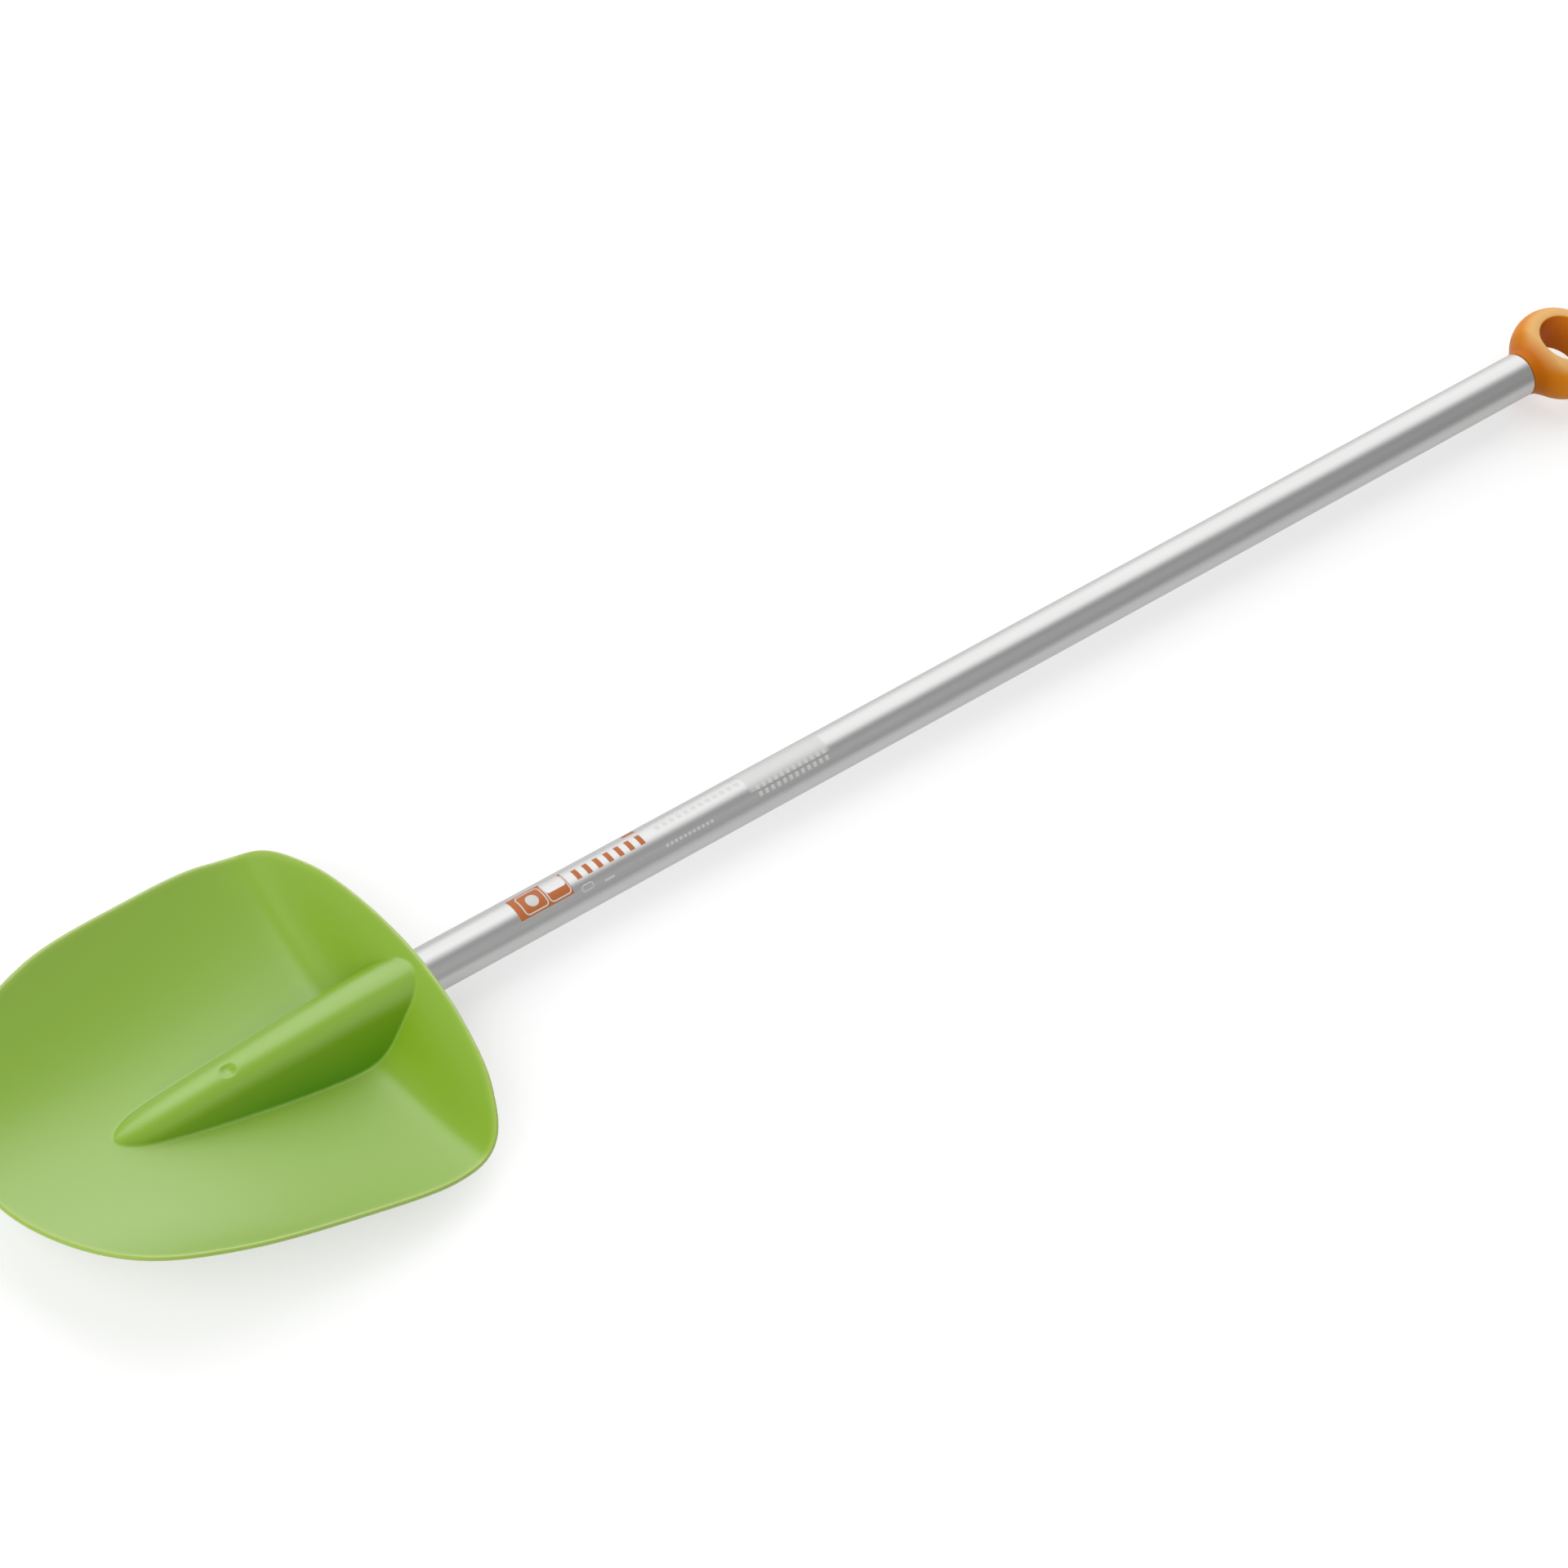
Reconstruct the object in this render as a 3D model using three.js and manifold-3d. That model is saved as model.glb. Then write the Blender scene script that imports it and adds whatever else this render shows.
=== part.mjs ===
// A child's sand spade: a dished plastic blade, a round aluminium shaft and a plastic ring grip.
// Millimetres. X runs along the shaft from the blade to the grip, Y across the blade, Z up.
// The dish opens upwards. Shapes are drawn about the point where the shaft's axis passes the
// back of the blade's rim, and the finished spade is then set on the ground plane.
import * as THREE from 'three';
import { mergeVertices } from 'three/addons/utils/BufferGeometryUtils.js';
import Module from 'manifold-3d';

const wasm = await Module();
wasm.setup();

// Shaft tube
const tubeDiameter = 18;
const tubeWall = 1.2;
const tubeLength = 600;
const tubeDepth = 38; // length of tube that stands inside the blade
const clearance = 0.3; // gap between pieces that meet

// Blade: the dish
const bladeLength = 184;
const bladeWidth = 152.6;
const bladeWall = 2.8;
const rimRound = 0.9; // radius of the rim's edges
const heelSetback = 20; // from the back of the rim to the foot of the rear wall
const heelSlope = 0.116; // rise of the floor per millimetre, at the foot of the rear wall
const floorCurve = 0.000417; // growth of that rise towards the tip
const sideCurve = 0.00264; // how strongly the floor curls up to the sides
const sideCurveGrowth = 0.000023; // growth of that curl towards the tip
const creaseSweep = 3.5; // how far the foot of the rear wall runs forward at the sides
const creaseRound = 7; // softness of the foot of the rear wall
const wallBend = 2; // 1 is a straight rear wall, more leans its top outwards
const wallFade = 0.45; // loss of wall height from the middle to the sides
const lipCover = 2.1; // height of the rim above the socket

// Blade: the hump that holds the shaft, hollow from below
const socketWall = 2.2;
const heelRoom = 6.8; // from the socket's underside to the dish floor at the heel
const humpLength = 127.5;
const humpBack = 3; // from the back of the rim to the back of the hump
const humpTaper = 4; // loss of the ridge's radius from back to nose
const humpDraft = 20; // degrees that the hump's sides lean in
const noseFill = 16; // more makes the nose blunter
const humpLevel = 25; // length of level ridge at the back
const ridgeFall = 9.3;
const ridgeBend = 1.25; // 1 is a straight fall, more keeps the ridge up for longer
const cavityBack = 14; // from the back of the rim to the hollow under the hump
const sleeveBack = 1; // from the back of the rim to the end of the sleeve round the shaft
const humpSkin = 2.6;
const ribThickness = 2;
const ribPitch = 23;
const ribCount = 4;
const gateDistance = 84; // from the back of the rim to the moulding gate's dimple
const gateWidth = 8;
const gateDepth = 1;

// Screws, one below each end of the shaft
const screwDiameter = 3.5;
const screwBite = 5; // length of screw past the tube's wall
const screwHeadDiameter = 6.8;
const screwHeadHeight = 1.4;
const screwHeadFlat = 0.6; // flat share of the head's radius
const recessWidth = 1;
const recessLength = 3.8;
const recessDepth = 0.9;
const bossDiameter = 9;
const bossHeight = 1.4;
const bladeScrewSetback = 26; // from the back of the rim
const gripScrewSetback = 17; // from the grip end of the tube

// Ring grip
const ringDiameter = 40.3;
const ringHole = 22.4;
const ringThickness = 20.4;
const ringReach = 23.1; // from the end of the tube to the centre of the ring
const ringEdge = 7.4; // width of the rounded outer edge
const holeRound = 0.5;
const neckGrowth = 0.2; // widening of the neck per millimetre towards the ring
const spigotLength = 34;
const spigotWall = 2.4;

// Fineness of the round shapes
const fineSides = 48;
const humpSides = 60;
const humpStations = 16;
const hollowStations = 12;
const edgeSteps = 4;
const outlineSteps = 360;

const tubeRadius = tubeDiameter / 2;
const tubeBore = tubeRadius - tubeWall;
const tubeStart = -tubeDepth;
const tubeEnd = tubeStart + tubeLength;
const socketRadius = tubeRadius + clearance;
const sleeveRadius = socketRadius + socketWall;
const heelX = -heelSetback;
const heelDepth = sleeveRadius + heelRoom;
const halfBlade = bladeWidth / 2;
const farAway = 80; // reach of the bodies that only cut or trim
const overlap = 1; // reach of joined bodies into each other, and of cutters past a face

// Turns a closed three.js geometry into a solid whose faces point outwards.
function solid(geometry) {
  const bare = geometry.index ? geometry.clone() : geometry;
  bare.deleteAttribute('normal');
  bare.deleteAttribute('uv');
  const merged = mergeVertices(bare, 1e-4);
  const points = merged.attributes.position;
  const index = merged.index.array;
  const corners = [];
  let volume = 0;
  const [a, b, c] = [new THREE.Vector3(), new THREE.Vector3(), new THREE.Vector3()];
  for (let i = 0; i < index.length; i += 3) {
    const [p, q, r] = index.slice(i, i + 3);
    if (p === q || q === r || r === p) continue;
    corners.push(p, q, r);
    a.fromBufferAttribute(points, p);
    b.fromBufferAttribute(points, q);
    c.fromBufferAttribute(points, r);
    volume += a.dot(b.cross(c));
  }
  const triVerts = Uint32Array.from(volume < 0 ? corners.reverse() : corners);
  const vertProperties = Float32Array.from(points.array);
  return new wasm.Manifold(new wasm.Mesh({ numProp: 3, vertProperties, triVerts }));
}

// Gives a finished solid back as a named mesh.
function piece(name, body, material) {
  const mesh = body.getMesh();
  const geometry = new THREE.BufferGeometry();
  geometry.setAttribute('position', new THREE.BufferAttribute(mesh.vertProperties, 3));
  geometry.setIndex(new THREE.BufferAttribute(mesh.triVerts, 1));
  geometry.computeVertexNormals();
  const result = new THREE.Mesh(geometry, material);
  result.name = name;
  return result;
}

// A round bar along X.
function barAlongX(radius, from, to) {
  const geometry = new THREE.CylinderGeometry(radius, radius, to - from, fineSides);
  return solid(geometry.rotateZ(-Math.PI / 2).translate((from + to) / 2, 0, 0));
}

// A round bar along Z that stands at x.
function barAlongZ(radius, x, from, to, sides = fineSides / 2) {
  const geometry = new THREE.CylinderGeometry(radius, radius, to - from, sides);
  return solid(geometry.rotateX(Math.PI / 2).translate(x, 0, (from + to) / 2));
}

// A box between two corners.
function block(from, to) {
  const size = new THREE.Vector3().subVectors(to, from);
  const middle = new THREE.Vector3().addVectors(from, to).multiplyScalar(0.5);
  return solid(new THREE.BoxGeometry(size.x, size.y, size.z).translate(middle.x, middle.y, middle.z));
}

// A body with a closed section square to X for each station, flat at both ends. The section gives
// the outline's offsets across and up from the station's middle, at an angle from the top.
function loft(stations, sides, section) {
  const last = stations.length - 1;
  const profile = [new THREE.Vector2(0, 0)];
  for (let i = 0; i <= last; i++) profile.push(new THREE.Vector2(1, i));
  profile.push(new THREE.Vector2(0, last));
  const geometry = new THREE.LatheGeometry(profile, sides);
  const points = geometry.attributes.position;
  for (let i = 0; i < points.count; i++) {
    const station = stations[Math.round(points.getY(i))];
    const share = Math.hypot(points.getX(i), points.getZ(i));
    const [across, up] = section(station, Math.atan2(points.getX(i), points.getZ(i)));
    points.setXYZ(i, station.x, share * across, station.middle + share * up);
  }
  return solid(geometry);
}

// An elliptical section.
function ellipse({ halfWidth, halfHeight }, angle) {
  return [halfWidth * Math.sin(angle), halfHeight * Math.cos(angle)];
}

// A section with a round top, straight sides that spread downwards, and a level base.
function ridge({ radius, depth }, angle) {
  const lean = Math.abs(angle) - Math.PI / 2 + THREE.MathUtils.degToRad(humpDraft);
  const toSide = lean < Math.PI / 2 ? radius / Math.cos(Math.max(lean, 0)) : Infinity;
  const toBase = Math.cos(angle) < 0 ? -depth / Math.cos(angle) : Infinity;
  const reach = Math.min(toSide, toBase);
  return [reach * Math.sin(angle), reach * Math.cos(angle)];
}

// The blade's outline seen from above, as shares of its length and half width.
const outlineShares = [
  [0.016, 0.42], [0.049, 0.72], [0.106, 0.937], [0.207, 1], [0.428, 0.965],
  [0.687, 0.862], [0.853, 0.682], [0.951, 0.38],
];
const outlineCentre = -bladeLength / 2;
const outline = outlineCurve();

function outlineCurve() {
  const place = (along, across) => new THREE.Vector3(-along * bladeLength, across * halfBlade, 0);
  const right = outlineShares.map(([along, across]) => place(along, across));
  const left = outlineShares.map(([along, across]) => place(along, -across)).reverse();
  const points = [place(0, 0), ...right, place(1, 0), ...left];
  const curve = new THREE.CatmullRomCurve3(points, true, 'centripetal');
  return curve.getPoints(outlineSteps).map((p) => {
    const along = p.x - outlineCentre;
    return { angle: Math.atan2(p.y, along), reach: Math.hypot(along, p.y) };
  }).sort((p, q) => p.angle - q.angle);
}

// Distance from the outline's centre to the rim in one direction.
function rimReach(angle) {
  const next = outline.findIndex((p) => p.angle >= angle);
  if (next <= 0) return outline[0].reach;
  const [p, q] = [outline[next - 1], outline[next]];
  if (q.angle === p.angle) return q.reach;
  return THREE.MathUtils.mapLinear(angle, p.angle, q.angle, p.reach, q.reach);
}

function floorHeight(x) {
  const ahead = heelX - x;
  return -heelDepth + heelSlope * ahead + floorCurve * ahead * ahead;
}

// Height of the dish's upper face: a floor that rises to the tip and the sides, and a rear wall.
function dishHeight(x, y) {
  const across = (y / halfBlade) ** 2;
  const curl = (sideCurve + sideCurveGrowth * (heelX - x)) * y * y;
  const past = x - heelX + creaseSweep * across;
  const climbed = (past + Math.hypot(past, creaseRound)) / 2 / (heelSetback + creaseRound / 3);
  const wallHeight = sleeveRadius + lipCover - floorHeight(0);
  const wall = wallHeight * (1 - wallFade * across) * (1 - (1 - Math.min(climbed, 1)) ** wallBend);
  return floorHeight(x) + curl + wall;
}

function dishNormal(x, y) {
  const step = 0.05;
  const alongX = (dishHeight(x + step, y) - dishHeight(x - step, y)) / (2 * step);
  const alongY = (dishHeight(x, y + step) - dishHeight(x, y - step)) / (2 * step);
  return new THREE.Vector3(-alongX, -alongY, 1).normalize();
}

// Where the rings of the dish's net lie, as shares of the way from the outline's centre to the rim.
const rings = [0, 0.13, 0.26, 0.38, 0.49, 0.59, 0.67, 0.74, 0.8, 0.85, 0.9, 0.945];
const ringSides = 84;

// Turns the diagonals of one half of a turned net, so that the blade's two sides are facetted alike.
function mirrorDiagonals(index) {
  for (let i = 0; i < index.length / 2; i += 6) {
    const [a, b, d, c] = index.slice(i, i + 4);
    index.set([a, b, c, c, d, a], i);
  }
}

// A plate that follows the dish between two depths below its upper face. With a level, its far
// face is flat at that height instead.
function dishBody(near, far, edge, level) {
  const shares = [...rings, 1 - edge / (bladeLength / 2)];
  const profile = shares.map((share) => new THREE.Vector2(share, 0));
  if (edge > 0) {
    profile.push(new THREE.Vector2(1, edge / bladeWall));
    profile.push(new THREE.Vector2(1, 1 - edge / bladeWall));
  }
  profile.push(...shares.reverse().map((share) => new THREE.Vector2(share, 1)));
  const geometry = new THREE.LatheGeometry(profile, ringSides);
  mirrorDiagonals(geometry.index.array);
  const points = geometry.attributes.position;
  const place = new THREE.Vector3();
  for (let i = 0; i < points.count; i++) {
    const share = Math.hypot(points.getX(i), points.getZ(i));
    const angle = Math.atan2(points.getX(i), points.getZ(i));
    const reach = share * rimReach(angle);
    const through = points.getY(i);
    place.set(outlineCentre + reach * Math.cos(angle), reach * Math.sin(angle), 0);
    place.z = dishHeight(place.x, place.y);
    place.addScaledVector(dishNormal(place.x, place.y), -THREE.MathUtils.lerp(near, far, through));
    if (level !== undefined && through === 1) place.z = level;
    points.setXYZ(i, place.x, place.y, place.z);
  }
  return solid(geometry);
}

// Share of the hump's full section that is left at its rounded nose.
function noseShare(x) {
  const share = Math.min((-humpBack - x) / humpLength, 1);
  return Math.sqrt(1 - share ** noseFill);
}

// Height of the hump's ridge above the shaft's axis: level over the shaft, falling to the nose.
function ridgeHeight(x) {
  const share = Math.max(0, (-humpBack - x - humpLevel) / (humpLength - humpLevel));
  const height = sleeveRadius - ridgeFall * share ** ridgeBend;
  return THREE.MathUtils.lerp(floorHeight(x), height, noseShare(x));
}

function ridgeRadius(x) {
  return (sleeveRadius - humpTaper * (-humpBack - x) / humpLength) * noseShare(x);
}

// The hump's outer body, or with an inset the hollow inside it. It reaches below the dish, where
// it is trimmed away.
function humpBody(inset, back, stationCount) {
  const stations = [];
  const leastRadius = clearance;
  const nose = -humpBack - humpLength + inset;
  for (let i = 0; i <= stationCount; i++) {
    const x = THREE.MathUtils.lerp(-back, nose, (1 - Math.cos((i / stationCount) * Math.PI)) / 2);
    const middle = ridgeHeight(x) - ridgeRadius(x);
    const radius = Math.max(ridgeRadius(x) - inset, leastRadius);
    stations.push({ x, middle, radius, depth: middle + farAway / 2 });
  }
  return loft(stations, humpSides, ridge);
}

// Depth below the axis of the flat that carries the blade screw's head.
const bladeSeat = sleeveRadius + bossHeight;

function buildBlade(material) {
  const dish = dishBody(0, bladeWall, rimRound);
  const belowDish = dishBody(bladeWall, bladeWall, 0, -farAway);
  const aboveDish = dishBody(0, 0, 0, farAway);
  const humpOuter = humpBody(0, humpBack, humpStations);
  const hump = humpOuter.subtract(belowDish);
  const hollow = humpBody(humpSkin, cavityBack, hollowStations);

  const sleeve = barAlongX(sleeveRadius, tubeStart - clearance - socketWall, -sleeveBack);
  const socket = sleeve.intersect(humpOuter).add(sleeve.subtract(aboveDish));

  const tip = -humpBack - humpLength;
  let ribs = block(
    new THREE.Vector3(tip, -ribThickness / 2, -farAway),
    new THREE.Vector3(tubeStart, ribThickness / 2, farAway),
  );
  for (let i = 0; i < ribCount; i++) {
    const x = -bladeScrewSetback - bossDiameter - i * ribPitch;
    ribs = ribs.add(block(
      new THREE.Vector3(x - ribThickness / 2, -farAway, -farAway),
      new THREE.Vector3(x + ribThickness / 2, farAway, farAway),
    ));
  }

  const boss = barAlongZ(bossDiameter / 2, -bladeScrewSetback, -bladeSeat, -socketRadius);
  const bore = barAlongX(socketRadius, tubeStart - clearance, farAway);
  const pilot = barAlongZ(screwDiameter / 2 + clearance, -bladeScrewSetback, -farAway, 0);
  const gateRadius = (gateWidth * gateWidth / 4 + gateDepth * gateDepth) / (2 * gateDepth);
  const gateHeight = ridgeHeight(-gateDistance) + gateRadius - gateDepth;
  const gate = new THREE.SphereGeometry(gateRadius, fineSides / 2, fineSides / 2);
  gate.translate(-gateDistance, 0, gateHeight);

  const body = dish.add(hump).subtract(hollow).add(socket).add(ribs.intersect(hump)).add(boss)
    .subtract(bore).subtract(pilot).subtract(solid(gate));
  return piece('blade', body, material);
}

function buildTube(material) {
  const hole = screwDiameter / 2 + clearance;
  const body = barAlongX(tubeRadius, tubeStart, tubeEnd)
    .subtract(barAlongX(tubeBore, tubeStart - overlap, tubeEnd + overlap))
    .subtract(barAlongZ(hole, -bladeScrewSetback, -farAway, 0))
    .subtract(barAlongZ(hole, tubeEnd - gripScrewSetback, -farAway, 0));
  return piece('shaft_tube', body, material);
}

// A pan-head screw driven upwards, with its head's seat at a depth below the shaft's axis.
function buildScrew(name, x, seat, material) {
  const shank = screwDiameter / 2;
  const head = screwHeadDiameter / 2;
  const seatZ = -seat - clearance;
  const tipZ = -tubeBore + screwBite;
  const profile = [new THREE.Vector2(0, seatZ - screwHeadHeight)];
  for (let i = 0; i <= edgeSteps; i++) {
    const turn = (i / edgeSteps) * Math.PI / 2;
    const radius = head * THREE.MathUtils.lerp(screwHeadFlat, 1, Math.sin(turn));
    profile.push(new THREE.Vector2(radius, seatZ - screwHeadHeight * Math.cos(turn)));
  }
  profile.push(new THREE.Vector2(shank, seatZ));
  profile.push(new THREE.Vector2(shank, tipZ - screwDiameter));
  profile.push(new THREE.Vector2(0, tipZ));
  const turned = new THREE.LatheGeometry(profile, fineSides / 2);
  turned.rotateX(Math.PI / 2).translate(x, 0, 0);
  const cut = (halfX, halfY) => block(
    new THREE.Vector3(x - halfX, -halfY, seatZ - screwHeadHeight - overlap),
    new THREE.Vector3(x + halfX, halfY, seatZ - screwHeadHeight + recessDepth),
  );
  const body = solid(turned)
    .subtract(cut(recessLength / 2, recessWidth / 2))
    .subtract(cut(recessWidth / 2, recessLength / 2));
  return piece(name, body, material);
}

// The ring's rounded disc, before its hole is cut.
function ringDisc(centre) {
  const radius = ringDiameter / 2;
  const half = ringThickness / 2;
  const profile = [new THREE.Vector2(0, -half)];
  for (let i = -2 * edgeSteps; i <= 2 * edgeSteps; i++) {
    const turn = (i / edgeSteps) * Math.PI / 4;
    profile.push(new THREE.Vector2(radius - ringEdge + ringEdge * Math.cos(turn), half * Math.sin(turn)));
  }
  profile.push(new THREE.Vector2(0, half));
  const turned = new THREE.LatheGeometry(profile, fineSides);
  return solid(turned.rotateX(Math.PI / 2).translate(centre, 0, 0));
}

// The hole's cutter, flared at both ends so that the hole's edges are rounded.
function ringHoleCutter(centre) {
  const radius = ringHole / 2;
  const half = ringThickness / 2;
  const upper = [];
  for (let i = 0; i <= edgeSteps; i++) {
    const turn = (i / edgeSteps) * Math.PI / 2;
    const flare = holeRound * (1 - Math.cos(turn));
    upper.push(new THREE.Vector2(radius + flare, half - holeRound * (1 - Math.sin(turn))));
  }
  upper.push(new THREE.Vector2(radius + holeRound, half + overlap));
  upper.push(new THREE.Vector2(0, half + overlap));
  const lower = upper.map((point) => new THREE.Vector2(point.x, -point.y)).reverse();
  const turned = new THREE.LatheGeometry([...lower, ...upper], fineSides);
  return solid(turned.rotateX(Math.PI / 2).translate(centre, 0, 0));
}

function buildGrip(material) {
  const neckStart = tubeEnd + clearance;
  const centre = tubeEnd + ringReach;
  const stations = [];
  const neckSteps = 2 * edgeSteps;
  const neckLength = ringReach - ringHole / 3; // ends within the hole, which trims it
  for (let i = 0; i <= neckSteps; i++) {
    const share = i / neckSteps;
    const x = neckStart + share * neckLength;
    stations.push({
      x,
      middle: 0,
      halfWidth: Math.min(tubeRadius + neckGrowth * share * neckLength, ringDiameter / 2 - clearance),
      halfHeight: THREE.MathUtils.lerp(tubeRadius, ringThickness / 2 - clearance, share),
    });
  }
  const spigotRadius = tubeBore - clearance;
  const spigot = barAlongX(spigotRadius, tubeEnd - spigotLength, neckStart + overlap)
    .subtract(barAlongX(spigotRadius - spigotWall, tubeEnd - spigotLength - overlap, tubeEnd - spigotWall))
    .subtract(barAlongZ(screwDiameter / 2 + clearance, tubeEnd - gripScrewSetback, -farAway, 0));
  const body = loft(stations, fineSides, ellipse).add(ringDisc(centre))
    .subtract(ringHoleCutter(centre)).add(spigot);
  return piece('grip', body, material);
}

const greenPlastic = new THREE.MeshStandardMaterial({ color: 0x8ab536, roughness: 0.42, metalness: 0 });
const aluminium = new THREE.MeshStandardMaterial({ color: 0xc4c5c3, roughness: 0.32, metalness: 1 });
const orangePlastic = new THREE.MeshStandardMaterial({ color: 0xd98a2b, roughness: 0.45, metalness: 0 });
const steel = new THREE.MeshStandardMaterial({ color: 0xa9abad, roughness: 0.3, metalness: 1 });

const spade = new THREE.Group();
spade.add(buildBlade(greenPlastic));
spade.add(buildTube(aluminium));
spade.add(buildGrip(orangePlastic));
spade.add(buildScrew('blade_screw', -bladeScrewSetback, bladeSeat, steel));
spade.add(buildScrew('grip_screw', tubeEnd - gripScrewSetback, tubeRadius, steel));

// The spade lies on the ground plane, with the origin below the middle of its box.
const bounds = new THREE.Box3().setFromObject(spade);
spade.position.set(-(bounds.min.x + bounds.max.x) / 2, 0, -bounds.min.z);

export default spade;
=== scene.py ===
"""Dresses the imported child's spade with fine meshes, procedural finishes, a studio and a camera.

Lengths are metres. Each piece is drawn about the point where the shaft's axis passes the back of the
blade's rim, with X along the shaft towards the grip, Y across the blade and Z up out of the dish, and
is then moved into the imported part's frame.
"""
import logging
import math
from dataclasses import dataclass, field
from enum import Enum
from itertools import product
from typing import Callable, Union

import bpy
import numpy as np
from mathutils import Matrix, Vector


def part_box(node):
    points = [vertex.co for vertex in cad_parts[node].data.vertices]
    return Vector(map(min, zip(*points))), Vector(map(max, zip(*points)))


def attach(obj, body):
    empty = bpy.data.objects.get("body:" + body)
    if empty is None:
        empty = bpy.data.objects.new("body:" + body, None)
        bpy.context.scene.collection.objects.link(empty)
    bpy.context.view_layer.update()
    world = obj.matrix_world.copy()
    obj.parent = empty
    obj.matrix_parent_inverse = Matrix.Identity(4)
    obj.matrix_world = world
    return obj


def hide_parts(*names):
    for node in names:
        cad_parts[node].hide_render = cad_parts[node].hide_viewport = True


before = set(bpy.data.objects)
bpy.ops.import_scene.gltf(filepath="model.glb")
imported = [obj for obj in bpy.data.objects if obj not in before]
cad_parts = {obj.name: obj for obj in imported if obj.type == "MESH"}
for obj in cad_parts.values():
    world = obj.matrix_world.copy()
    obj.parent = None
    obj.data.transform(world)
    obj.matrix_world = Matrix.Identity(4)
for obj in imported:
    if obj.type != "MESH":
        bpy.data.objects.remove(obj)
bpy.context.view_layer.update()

MM = 0.001
LOG = logging.getLogger("spade")

Triple = tuple[float, float, float]
Colour = Triple
Mark = tuple[float, float, float, float]
Distance = Callable[[np.ndarray], np.ndarray]
Operand = Union["Value", float, Colour]


class Slot(Enum):
    """The record's material slots."""

    GREEN = "green_plastic"
    ALUMINIUM = "aluminium"
    ORANGE = "orange_plastic"
    STEEL = "steel"


def join(first: np.ndarray, second: np.ndarray, radius: float) -> np.ndarray:
    """Distances to two bodies joined with a fillet, from the distances to each, negative inside."""
    bulge = np.hypot(np.maximum(radius - first, 0), np.maximum(radius - second, 0))
    return np.maximum(np.minimum(first, second), radius) - bulge


def common(first: np.ndarray, second: np.ndarray, radius: float) -> np.ndarray:
    """Distances to what two bodies share, with rounded edges."""
    bulge = np.hypot(np.maximum(radius + first, 0), np.maximum(radius + second, 0))
    return np.minimum(np.maximum(first, second), -radius) + bulge


def cut(body: np.ndarray, cutter: np.ndarray, radius: float) -> np.ndarray:
    """Distances to what a cutter leaves of a body, with rounded edges."""
    return common(body, -cutter, radius)


def between(values: np.ndarray, low: float, high: float) -> np.ndarray:
    """Distances to the slab of values from low to high."""
    return np.abs(values - (low + high) / 2) - (high - low) / 2


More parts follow.
